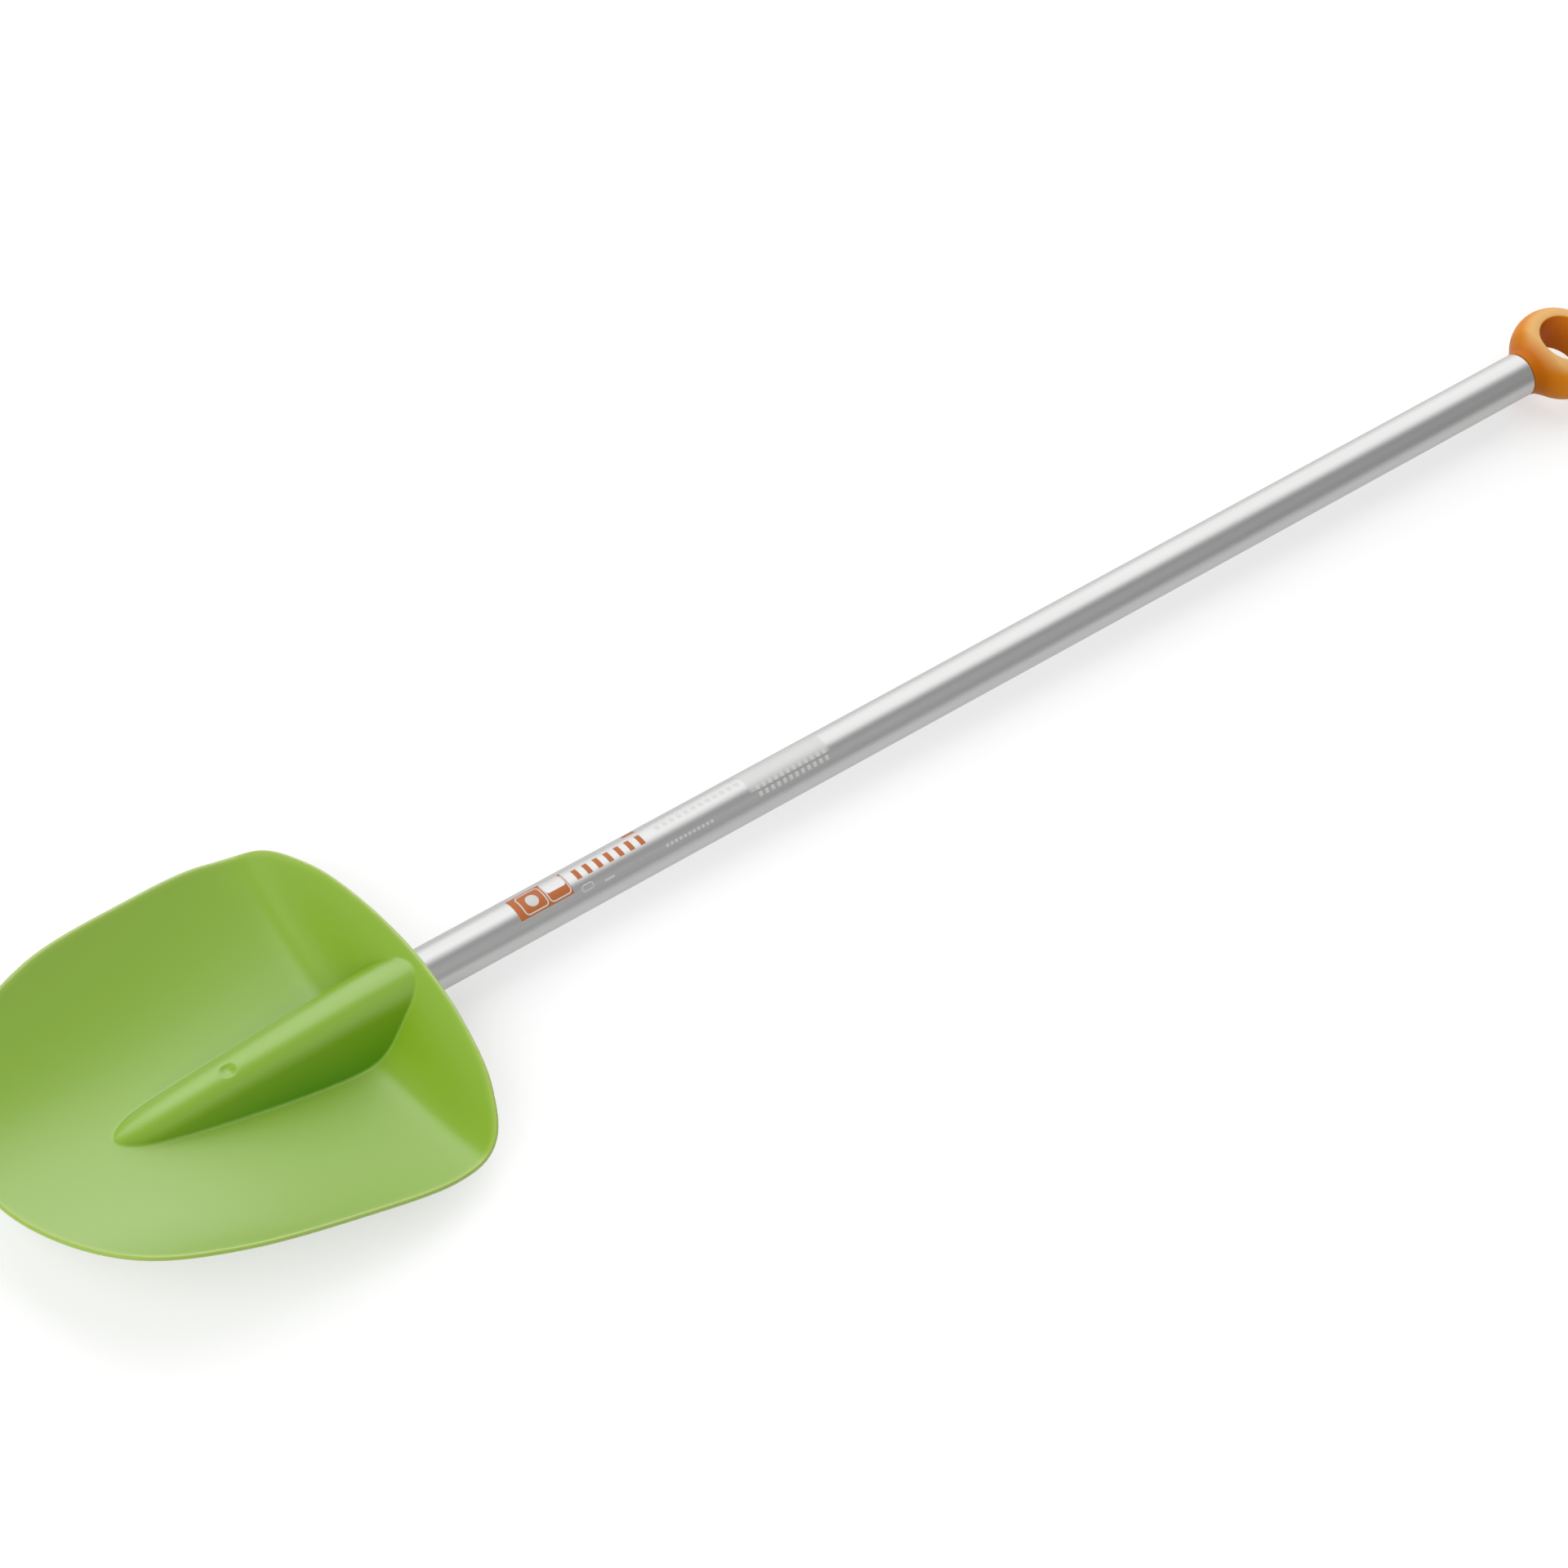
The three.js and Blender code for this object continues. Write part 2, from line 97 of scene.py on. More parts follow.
@dataclass(frozen=True)
class NetMesher:
    """Makes a mesh of quads of the surface where a distance field is zero."""

    cell: float
    slab: int = 12
    settling: int = 3
    margin: int = 2
    probe_parts: int = 20
    least_steepness: float = 0.1

    def sample(self, distance: Distance, axes: list[np.ndarray]) -> np.ndarray:
        """Measures the field on a grid, a slab at a time.

        Args:
            distance: The field.
            axes: The grid's places along X, Y and Z.

        Returns:
            The field's values, one for each grid point.
        """
        slabs = []
        for start in range(0, len(axes[0]), self.slab):
            places = np.meshgrid(axes[0][start:start + self.slab], axes[1], axes[2], indexing="ij")
            grid = np.stack(places, axis=-1)
            slabs.append(distance(grid.reshape(-1, 3)).reshape(grid.shape[:3]))
        return np.concatenate(slabs)

    def slope(self, distance: Distance, points: np.ndarray) -> np.ndarray:
        """Gradient of the field at each point, by differences."""
        step = self.cell / self.probe_parts
        sides = [distance(points + offset) - distance(points - offset) for offset in step * np.eye(3)]
        return np.stack(sides, axis=-1) / (2 * step)

    def settle(self, distance: Distance, points: np.ndarray) -> np.ndarray:
        """Moves points onto the surface.

        Args:
            distance: The field.
            points: Points near its surface.

        Returns:
            The moved points.
        """
        for _ in range(self.settling):
            slope = self.slope(distance, points)
            steepness = np.maximum((slope ** 2).sum(axis=1), self.least_steepness)
            step = np.clip(distance(points) / steepness, -self.cell, self.cell)
            points = points - step[:, None] * slope
        return points

    def build(self, distance: Distance, low: Triple, high: Triple) -> tuple[np.ndarray, np.ndarray]:
        """Meshes the field's surface.

        Args:
            distance: The field.
            low: Lowest corner of the box that holds the body.
            high: Highest corner of that box.

        Returns:
            The points and the quads, as rows of point numbers.
        """
        before, after = self.margin * self.cell, (self.margin + 1) * self.cell
        ends = [(first - before, last + after) for first, last in zip(low, high)]
        axes = [np.arange(first, last, self.cell) for first, last in ends]
        values = self.sample(distance, axes)
        inside = values < 0
        shape = np.array(inside.shape) - 1
        corners = sum(
            inside[i:i + shape[0], j:j + shape[1], k:k + shape[2]].astype(np.int8)
            for i, j, k in product((0, 1), repeat=3)
        )
        active = (corners > 0) & (corners < 8)
        cells = np.argwhere(active)
        number = np.full(active.shape, -1)
        number[active] = np.arange(len(cells))
        points = self.crossings(values, cells) * self.cell + np.array([axis[0] for axis in axes])
        return self.settle(distance, points), self.quads(inside, number)

    @staticmethod
    def crossings(values: np.ndarray, cells: np.ndarray) -> np.ndarray:
        """Mean place where the surface crosses each cell's edges.

        Args:
            values: The field on the grid.
            cells: Grid numbers of the cells that the surface passes through.

        Returns:
            One place per cell, in grid steps.
        """
        total = np.zeros(cells.shape)
        hits = np.zeros(len(cells))
        for axis, offset in product(range(3), product((0, 1), repeat=3)):
            if offset[axis]:
                continue
            start = cells + offset
            stop = start + np.eye(3, dtype=int)[axis]
            first, second = values[tuple(start.T)], values[tuple(stop.T)]
            crosses = (first < 0) != (second < 0)
            place = start[crosses].astype(float)
            place[:, axis] += first[crosses] / (first[crosses] - second[crosses])
            total[crosses] += place
            hits += crosses
        return total / hits[:, None]

    @staticmethod
    def quads(inside: np.ndarray, number: np.ndarray) -> np.ndarray:
        """Quads across every grid edge that the surface crosses.

        Args:
            inside: Which grid points lie inside the body.
            number: Point number of each cell.

        Returns:
            Rows of four point numbers, facing outwards.
        """
        found = []
        for axis in range(3):
            after, last = np.eye(3, dtype=int)[[(axis + 1) % 3, (axis + 2) % 3]]
            lower = np.take(inside, range(inside.shape[axis] - 1), axis)
            upper = np.take(inside, range(1, inside.shape[axis]), axis)
            edges = np.argwhere(lower != upper)
            leaves = lower[tuple(edges.T)]
            ring = [edges - after - last, edges - last, edges, edges - after]
            quad = np.stack([number[tuple(place.T)] for place in ring], axis=-1)
            quad[~leaves] = quad[~leaves][:, ::-1]
            found.append(quad)
        return np.concatenate(found)


@dataclass(frozen=True)
class Placement:
    """Where the drawing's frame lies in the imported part's frame."""

    shift: Vector

    @classmethod
    def from_tube(cls, depth: float) -> "Placement":
        """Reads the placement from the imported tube, of which this depth stands inside the blade."""
        low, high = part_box("shaft_tube")
        return cls(Vector((low.x + depth, 0.0, (low.z + high.z) / 2)))

    def add(self, name: str, points: np.ndarray, faces: np.ndarray) -> bpy.types.Object:
        """Makes a smooth mesh object from points in the drawing's frame.

        Args:
            name: The object's name.
            points: Its points.
            faces: Its faces, as rows of point numbers.

        Returns:
            The object.
        """
        mesh = bpy.data.meshes.new(name)
        mesh.from_pydata((points + np.array(self.shift)).tolist(), [], faces.tolist())
        mesh.shade_smooth()
        made = bpy.data.objects.new(name, mesh)
        bpy.context.scene.collection.objects.link(made)
        return made


def note(piece: bpy.types.Object, name: str, values: np.ndarray) -> None:
    """Stores one number per point on a piece."""
    made = piece.data.attributes.new(name, "FLOAT", "POINT")
    made.data.foreach_set("value", values.astype(np.float32))


def dress(piece: bpy.types.Object, node: str, material: bpy.types.Material) -> None:
    """Gives a piece its finish and ties it to the CAD node that it stands for.

    Args:
        piece: The piece.
        node: The CAD node.
        material: The finish.
    """
    piece.data.materials.append(material)
    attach(piece, "root")
    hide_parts(node)
    LOG.info("%s: %d points", piece.name, len(piece.data.vertices))


@dataclass(frozen=True)
class Fit:
    """Sizes that more than one piece shares."""

    clearance: float = 0.3 * MM
    tube_radius: float = 9 * MM
    tube_wall: float = 1.2 * MM
    tube_length: float = 600 * MM
    tube_depth: float = 38 * MM
    screw_radius: float = 1.75 * MM
    blade_screw_setback: float = 26 * MM
    grip_screw_setback: float = 17 * MM
    socket_wall: float = 2.2 * MM
    boss_height: float = 1.4 * MM

    @property
    def bore(self) -> float:
        """Inner radius of the tube."""
        return self.tube_radius - self.tube_wall

    @property
    def tube_end(self) -> float:
        """Place of the tube's grip end."""
        return self.tube_length - self.tube_depth

    @property
    def socket_radius(self) -> float:
        """Radius of the blade's bore for the tube."""
        return self.tube_radius + self.clearance

    @property
    def sleeve_radius(self) -> float:
        """Outer radius of the sleeve round the tube."""
        return self.socket_radius + self.socket_wall

    @property
    def blade_seat(self) -> float:
        """Depth below the axis of the blade screw's seat."""
        return self.sleeve_radius + self.boss_height


@dataclass
class Blade:
    """The dished blade with the hump that holds the shaft."""

    fit: Fit
    mesh_cell: float = 0.65 * MM
    length: float = 184 * MM
    width: float = 152.6 * MM
    wall: float = 2.8 * MM
    # The rim.
    rim_round: float = 0.8 * MM
    rim_trim: float = 0.7 * MM
    rim_thin: float = 1.0 * MM
    rim_zone: float = 9 * MM
    # The dish, with its curves per metre, and its rear wall.
    heel_setback: float = 20 * MM
    heel_slope: float = 0.116
    floor_curve: float = 0.417
    side_curve: float = 2.64
    side_curve_growth: float = 23.0
    crease_sweep: float = 3.5 * MM
    crease_round: float = 7 * MM
    wall_bend: float = 2.0
    wall_fade: float = 0.45
    lip_cover: float = 2.1 * MM
    heel_room: float = 6.8 * MM
    # The hump.
    hump_length: float = 127.5 * MM
    hump_back: float = 3 * MM
    hump_taper: float = 4 * MM
    hump_draft: float = math.radians(20)
    hump_level: float = 25 * MM
    nose_fill: float = 16.0
    ridge_fall: float = 9.3 * MM
    ridge_bend: float = 1.25
    hump_fillet: float = 0.5 * MM
    # The hollow underside.
    cavity_back: float = 14 * MM
    sleeve_back: float = 1 * MM
    hump_skin: float = 2.6 * MM
    rib_half: float = 1 * MM
    rib_pitch: float = 23 * MM
    rib_count: int = 4
    small_round: float = 0.6 * MM
    boss_radius: float = 4.5 * MM
    # The moulding mark on the ridge.
    gate_distance: float = 84 * MM
    gate_radius: float = 5 * MM
    gate_depth: float = 1.1 * MM
    # Heights and back of the box that holds the blade.
    lowest: float = -22 * MM
    highest: float = 25 * MM
    rearmost: float = 1 * MM
    # Shares of the length and of half the width, from the rim's back to its front.
    outline_shares: tuple[tuple[float, float], ...] = (
        (0.016, 0.42), (0.049, 0.72), (0.106, 0.937), (0.207, 1.0), (0.428, 0.965),
        (0.687, 0.862), (0.853, 0.682), (0.951, 0.38),
    )
    table: np.ndarray = field(init=False)

    def __post_init__(self) -> None:
        """Tabulates the outline."""
        self.table = self.outline_table()

    @property
    def centre(self) -> float:
        """Place of the outline's centre along the shaft."""
        return -self.length / 2

    def outline_points(self) -> np.ndarray:
        """Points that the outline runs through, once round."""
        right = np.array([(0, 0), *self.outline_shares, (1, 0)])
        left = right[-2:0:-1] * (1, -1)
        return np.concatenate([right, left]) * (-self.length, self.width / 2)

    def outline_table(self, steps: int = 60) -> np.ndarray:
        """Follows a smooth curve through the outline's points.

        Args:
            steps: Samples between two of the points.

        Returns:
            Rows of direction from the centre, distance to the rim and cosine of the rim's slant.
        """
        points = self.outline_points()
        share = np.linspace(0, 1, steps, endpoint=False)[:, None]
        samples = []
        for i in range(len(points)):
            before, here, there, after = (points[(i + k) % len(points)] for k in (-1, 0, 1, 2))
            came, step, goes = here - before, there - here, after - there
            past, span, next_span = (np.sqrt(np.hypot(*stretch)) for stretch in (came, step, goes))
            leave = span * (came / past - (came + step) / (past + span) + step / span)
            reach = span * (step / span - (step + goes) / (span + next_span) + goes / next_span)
            cubic = leave + reach - 2 * step
            square = 3 * step - 2 * leave - reach
            samples.append(((cubic * share + square) * share + leave) * share + here)
        curve = np.concatenate(samples) - (self.centre, 0)
        angle = np.arctan2(curve[:, 1], curve[:, 0])
        order = np.argsort(angle)
        angle, radius = angle[order], np.hypot(*curve[order].T)
        slant = 1 / np.sqrt(1 + (np.gradient(radius, angle) / radius) ** 2)
        return np.stack([angle, radius, slant])

    def rim(self, x: np.ndarray, y: np.ndarray) -> np.ndarray:
        """Distance outside the outline, seen from above."""
        angle = np.arctan2(y, x - self.centre)
        radius = np.interp(angle, self.table[0], self.table[1], period=2 * math.pi)
        slant = np.interp(angle, self.table[0], self.table[2], period=2 * math.pi)
        return (np.hypot(x - self.centre, y) - radius) * slant

    def floor(self, x: np.ndarray) -> np.ndarray:
        """Height of the dish's floor on the middle line."""
        ahead = -self.heel_setback - x
        heel = -self.fit.sleeve_radius - self.heel_room
        return heel + self.heel_slope * ahead + self.floor_curve * ahead ** 2

    def dish(self, x: np.ndarray, y: np.ndarray) -> np.ndarray:
        """Height of the dish's upper face.

        Args:
            x: Places along the shaft.
            y: Places across the blade.

        Returns:
            The heights.
        """
        across = (2 * y / self.width) ** 2
        curl = (self.side_curve - self.side_curve_growth * (x + self.heel_setback)) * y ** 2
        past = x + self.heel_setback + self.crease_sweep * across
        rise = (past + np.hypot(past, self.crease_round)) / 2
        wall_run = self.heel_setback + self.crease_round / 3
        climbed = np.minimum(rise / wall_run, 1)
        height = self.fit.sleeve_radius + self.lip_cover - self.floor(0.0)
        wall = height * (1 - self.wall_fade * across) * (1 - (1 - climbed) ** self.wall_bend)
        return self.floor(x) + curl + wall

    def along_hump(self, x: np.ndarray) -> np.ndarray:
        """Share of the hump's length, from its back to its nose."""
        return np.clip((-self.hump_back - x) / self.hump_length, 0, 1)

    def nose(self, x: np.ndarray) -> np.ndarray:
        """Share of the hump's full size, which falls to nothing at its nose."""
        return np.sqrt(1 - self.along_hump(x) ** self.nose_fill)

    def ridge(self, x: np.ndarray) -> np.ndarray:
        """Height of the hump's ridge."""
        past = -self.hump_back - x - self.hump_level
        fallen = np.maximum(past / (self.hump_length - self.hump_level), 0) ** self.ridge_bend
        full = self.fit.sleeve_radius - self.ridge_fall * fallen
        return self.floor(x) + (full - self.floor(x)) * self.nose(x)

    def ridge_radius(self, x: np.ndarray) -> np.ndarray:
        """Radius of the hump's round top."""
        return (self.fit.sleeve_radius - self.hump_taper * self.along_hump(x)) * self.nose(x)

    def hump(self, points: np.ndarray, inset: float) -> np.ndarray:
        """Distances to the hump's body, which has a round top and sides that lean outwards below it.

        Args:
            points: Points.
            inset: How far inside the outer face to measure.

        Returns:
            The distances.
        """
        least = 0.2 * MM
        x, y, z = points.T
        radius = self.ridge_radius(x)
        across, up = np.abs(y), z - self.ridge(x) + radius
        sine, cosine = math.sin(self.hump_draft), math.cos(self.hump_draft)
        beside = across * sine > up * cosine
        section = np.where(beside, across * cosine + up * sine, np.hypot(across, up))
        section = section - np.maximum(radius - inset, least)
        nose = -self.hump_back - self.hump_length + inset
        return np.maximum(section, between(x, nose, -self.hump_back))

    def distance(self, points: np.ndarray) -> np.ndarray:
        """Distances to the blade.

        Args:
            points: Points in the drawing's frame.

        Returns:
            The distances, negative inside.
        """
        fit = self.fit
        step = 0.05 * MM
        x, y, z = points.T
        slope_x = (self.dish(x + step, y) - self.dish(x - step, y)) / (2 * step)
        slope_y = (self.dish(x, y + step) - self.dish(x, y - step)) / (2 * step)
        steepness = np.sqrt(1 + slope_x ** 2 + slope_y ** 2)
        above = (z - self.dish(x, y)) / steepness
        edge = self.rim(x + above * slope_x / steepness, y + above * slope_y / steepness)
        edge = edge + self.rim_trim
        wall = self.wall - self.rim_thin * np.clip(1 + edge / self.rim_zone, 0, 1)
        plate = common(between(above, -wall, 0), edge, self.rim_round)

        outer = self.hump(points, 0)
        hump = np.maximum(outer, -self.wall - above)
        body = join(plate, hump, self.hump_fillet)
        hollow = np.maximum(self.hump(points, self.hump_skin), x + self.cavity_back)
        body = cut(body, hollow, self.small_round)

        off_axis = np.hypot(y, z)
        sleeve_start = -fit.tube_depth - fit.clearance - fit.socket_wall
        sleeve = np.maximum(off_axis - fit.sleeve_radius, between(x, sleeve_start, -self.sleeve_back))
        socket = np.maximum(sleeve, np.minimum(outer, above) + self.small_round)
        body = join(body, socket, self.small_round)

        ribs = np.maximum(np.abs(y) - self.rib_half, x + fit.tube_depth)
        for i in range(self.rib_count):
            place = -fit.blade_screw_setback - 2 * self.boss_radius - i * self.rib_pitch
            ribs = np.minimum(ribs, np.abs(x - place) - self.rib_half)
        body = join(body, common(ribs, hump + self.small_round, self.small_round), self.small_round)

        off_screw = np.hypot(x + fit.blade_screw_setback, y)
        boss = np.maximum(off_screw - self.boss_radius, between(z, -fit.blade_seat, -fit.socket_radius))
        body = join(body, boss, self.small_round)
        bore = np.maximum(off_axis - fit.socket_radius, -fit.tube_depth - fit.clearance - x)
        body = cut(body, bore, self.small_round / 2)
        pilot = np.maximum(off_screw - fit.screw_radius - fit.clearance, z)
        body = np.maximum(body, -pilot)

        gate_height = self.ridge(-self.gate_distance) + self.gate_radius - self.gate_depth
        to_gate = np.hypot(np.hypot(x + self.gate_distance, y), z - gate_height)
        return cut(body, to_gate - self.gate_radius, self.small_round / 2)

    def build(self, placement: Placement, finish: bpy.types.Material) -> None:
        """Makes the blade, with its closeness to the rim, for a painted highlight, and its share of
        painted shade as point attributes.

        Args:
            placement: Where the drawing's frame lies.
            finish: The blade's finish.
        """
        low = (-self.length, -self.width / 2, self.lowest)
        high = (self.rearmost, self.width / 2, self.highest)
        points, faces = NetMesher(self.mesh_cell).build(self.distance, low, high)
        piece = placement.add("blade_moulding", points, faces)
        # Closeness to the rim, which sets a painted highlight along it.
        depth = np.maximum(-self.rim(points[:, 0], points[:, 1]) - self.rim_trim, 0)
        note(piece, "rim", np.exp(-depth / self.wall))
        # Share of painted shade down the hump's -Y side, which darkens it and takes its coat away.
        note(piece, "side", self.painted_near_side_shade(points))
        dress(piece, "blade", finish)

    def painted_near_side_shade(self, points: np.ndarray) -> np.ndarray:
        """Share of painted shade at each point, which gathers down the hump's -Y side.

        Args:
            points: Points of the blade.

        Returns:
            The shares: 0 on the ridge and off the hump, up to 1 at that side's foot.
        """
        x, y, z = points.T
        height = self.ridge(x) - self.floor(x)
        below = np.clip((self.ridge(x) - z) / np.maximum(height, self.wall), 0, 1)
        on_hump = np.clip(1 - np.abs(self.hump(points, 0)) / self.small_round, 0, 1)
        full_height = 2 * self.fit.sleeve_radius
        # Painted shade on the -Y side only, more lower down and where the hump stands tall.
        return below * on_hump * (y < 0) * np.clip(height / full_height, 0, 1)


@dataclass
class Tube:
    """The shaft's tube, open at both ends."""

    fit: Fit
    sides: int = 160
    edge: float = 0.25 * MM
    hold: float = 0.5 * MM

    def build(self, placement: Placement, finish: bpy.types.Material) -> None:
        """Turns the tube's wall round the shaft's axis.

        Args:
            placement: Where the drawing's frame lies.
            finish: The tube's finish.
        """
        start, end = -self.fit.tube_depth, self.fit.tube_end
        outer, inner = self.fit.tube_radius, self.fit.bore
        near, far = self.edge, self.edge + self.hold
        profile = np.array([
            (start, outer - near), (start + near, outer), (start + far, outer),
            (end - far, outer), (end - near, outer), (end, outer - near),
            (end, inner + near), (end - near, inner), (end - far, inner),
            (start + far, inner), (start + near, inner), (start, inner + near),
        ])
        turn = np.linspace(0, 2 * math.pi, self.sides, endpoint=False)
        along = np.repeat(profile[:, 0], self.sides)
        radius = np.repeat(profile[:, 1], self.sides)
        angle = np.tile(turn, len(profile))
        points = np.stack([along, radius * np.cos(angle), radius * np.sin(angle)], axis=-1)
        number = np.arange(len(points)).reshape(len(profile), self.sides)
        ring, side = np.roll(number, -1, axis=0), np.roll(number, -1, axis=1)
        both = np.roll(ring, -1, axis=1)
        faces = np.stack([number, ring, both, side], axis=-1).reshape(-1, 4)
        piece = placement.add("shaft_tubing", points, faces)
        dress(piece, "shaft_tube", finish)


@dataclass
class Grip:
    """The ring grip with the neck that meets the tube and the spigot inside it."""

    fit: Fit
    mesh_cell: float = 0.5 * MM
    ring_radius: float = 20.15 * MM
    hole_radius: float = 11.2 * MM
    thickness: float = 20.4 * MM
    reach: float = 23.1 * MM
    ring_edge: float = 7.4 * MM
    hole_round: float = 0.5 * MM
    neck_growth: float = 0.2
    # Share of the hole's radius at which the neck stops.
    neck_stop: float = 2 / 3
    blend: float = 3 * MM
    spigot_length: float = 34 * MM
    spigot_wall: float = 2.4 * MM
    neck_edge: float = 0.4 * MM
    # Reach and fade of the painted shade on the neck next to the tube's end.
    painted_shade_length: float = 4.44 * MM
    painted_shade_fade: float = 7.4 * MM

    def distance(self, points: np.ndarray) -> np.ndarray:
        """Distances to the grip.

        Args:
            points: Points in the drawing's frame.

        Returns:
            The distances, negative inside.
        """
        fit = self.fit
        least = 0.05
        x, y, z = points.T
        half = self.thickness / 2
        centre = fit.tube_end + self.reach
        off_ring = np.hypot(x - centre, y)
        outwards = np.maximum(off_ring - self.ring_radius + self.ring_edge, 0)
        share = np.hypot(outwards / self.ring_edge, z / half)
        slope = np.hypot(outwards / self.ring_edge ** 2, z / half ** 2) / np.maximum(share, least)
        ring = (share - 1) / np.maximum(slope, 1 / self.ring_radius)

        start = fit.tube_end + fit.clearance
        wide = fit.tube_radius + self.neck_growth * np.maximum(x - start, 0)
        off_neck = np.hypot(y * fit.tube_radius / wide, z) - fit.tube_radius
        neck_end = centre - self.hole_radius * self.neck_stop
        neck = common(off_neck, between(x, start, neck_end), self.neck_edge)
        body = join(ring, neck, self.blend)
        body = cut(np.maximum(body, start - x), off_ring - self.hole_radius, self.hole_round)

        off_axis = np.hypot(y, z)
        outer = fit.bore - fit.clearance
        spigot_start = fit.tube_end - self.spigot_length
        spigot = np.maximum(off_axis - outer, between(x, spigot_start, start + self.spigot_wall))
        spigot = np.maximum(spigot, -np.maximum(off_axis - outer + self.spigot_wall, x - start))
        off_screw = np.hypot(x - fit.tube_end + fit.grip_screw_setback, y)
        spigot = np.maximum(spigot, -np.maximum(off_screw - fit.screw_radius - fit.clearance, z))
        return np.minimum(body, spigot)

    def build(self, placement: Placement, finish: bpy.types.Material) -> None:
        """Makes the grip, with its share of painted shade next to the tube's end as a point attribute.

        Args:
            placement: Where the drawing's frame lies.
            finish: The grip's finish.
        """
        end = self.fit.tube_end
        low = (end - self.spigot_length, -self.ring_radius, -self.thickness / 2)
        high = (end + self.reach + self.ring_radius, self.ring_radius, self.thickness / 2)
        points, faces = NetMesher(self.mesh_cell).build(self.distance, low, high)
        piece = placement.add("ring_grip", points, faces)
        # Painted shade that darkens the grip next to the tube's end.
        past = np.abs(points[:, 0] - end) - self.painted_shade_length
        note(piece, "side", np.clip(1 - past / self.painted_shade_fade, 0, 1))
        dress(piece, "grip", finish)


@dataclass
class Screw:
    """A pan-head screw driven upwards, with a cross recess in its head."""

    fit: Fit
    node: str
    name: str
    place: float
    seat: float
    mesh_cell: float = 0.12 * MM
    bite: float = 5 * MM
    point_slope: float = 0.5
    head_radius: float = 3.4 * MM
    head_height: float = 1.4 * MM
    recess_half_width: float = 0.5 * MM
    recess_half_length: float = 1.9 * MM
    recess_depth: float = 0.9 * MM
    edge: float = 0.15 * MM

    def distance(self, points: np.ndarray) -> np.ndarray:
        """Distances to the screw.

        Args:
            points: Points in the drawing's frame.

        Returns:
            The distances, negative inside.
        """
        x, y, z = points[:, 0] - self.place, points[:, 1], points[:, 2]
        seat = -self.seat - self.fit.clearance
        tip = -self.fit.bore + self.bite
        off = np.hypot(x, y)
        head = between(z, seat - self.head_height, seat)
        head = common(off - self.head_radius, head, self.head_height / 2)
        point = (off - (tip - z) * self.point_slope) / math.hypot(1, self.point_slope)
        shank = np.maximum(common(off - self.fit.screw_radius, point, self.edge), seat - self.edge - z)
        floor = seat - self.head_height + self.recess_depth
        long, short = self.recess_half_length, self.recess_half_width
        slots = np.minimum(
            np.maximum(np.abs(x) - long, np.abs(y) - short),
            np.maximum(np.abs(y) - long, np.abs(x) - short),
        )
        return cut(np.minimum(head, shank), np.maximum(slots, z - floor), self.edge)

    def build(self, placement: Placement, finish: bpy.types.Material) -> None:
        """Makes the screw.

        Args:
            placement: Where the drawing's frame lies.
            finish: The screw's finish.
        """
        bottom = -self.seat - self.fit.clearance - self.head_height
        low = (self.place - self.head_radius, -self.head_radius, bottom)
        high = (self.place + self.head_radius, self.head_radius, -self.fit.bore + self.bite)
        points, faces = NetMesher(self.mesh_cell).build(self.distance, low, high)
        piece = placement.add(self.name, points, faces)
        dress(piece, self.node, finish)


class Value:
    """An output socket that takes part in shader arithmetic."""

    def __init__(self, graph: "Graph", socket: bpy.types.NodeSocket) -> None:
        """Wraps a socket of a graph's node."""
        self.graph = graph
        self.socket = socket

    def math(self, operation: str, *others: Operand) -> "Value":
        """This value and others put through one maths node with this operation."""
        inputs = dict(enumerate((self, *others)))
        return self.graph.node("ShaderNodeMath", {"operation": operation}, inputs)

    def __add__(self, other: Operand) -> "Value":
        """Sum."""
        return self.math("ADD", other)

    __radd__ = __add__

    def __mul__(self, other: Operand) -> "Value":
        """Product."""
        return self.math("MULTIPLY", other)

    __rmul__ = __mul__

    def __sub__(self, other: Operand) -> "Value":
        """Difference."""
        return self.math("SUBTRACT", other)

    def __rsub__(self, other: Operand) -> "Value":
        """Difference from a number."""
        return self * -1.0 + other

    def __neg__(self) -> "Value":
        """Opposite."""
        return self * -1.0

    def __abs__(self) -> "Value":
        """Size without sign."""
        return self.math("ABSOLUTE")

    def __and__(self, other: Operand) -> "Value":
        """The lesser of two masks."""
        return self.math("MINIMUM", other)

    def __or__(self, other: Operand) -> "Value":
        """The greater of two masks."""
        return self.math("MAXIMUM", other)

    def __mod__(self, other: Operand) -> "Value":
        """Remainder, never negative."""
        return self.math("FLOORED_MODULO", other)

    def ramp(self, low: float, high: float) -> "Value":
        """Runs smoothly from 0 at low to 1 at high, which may be the lesser.

        Args:
            low: Where the ramp is 0.
            high: Where the ramp is 1.

        Returns:
            The ramp.
        """
        settings = {"interpolation_type": "SMOOTHSTEP"}
        first, second, start = (low, high, 0.0) if low < high else (high, low, 1.0)
        inputs = {0: self, 1: first, 2: second, 3: start, 4: 1.0 - start}
        return self.graph.node("ShaderNodeMapRange", settings, inputs)


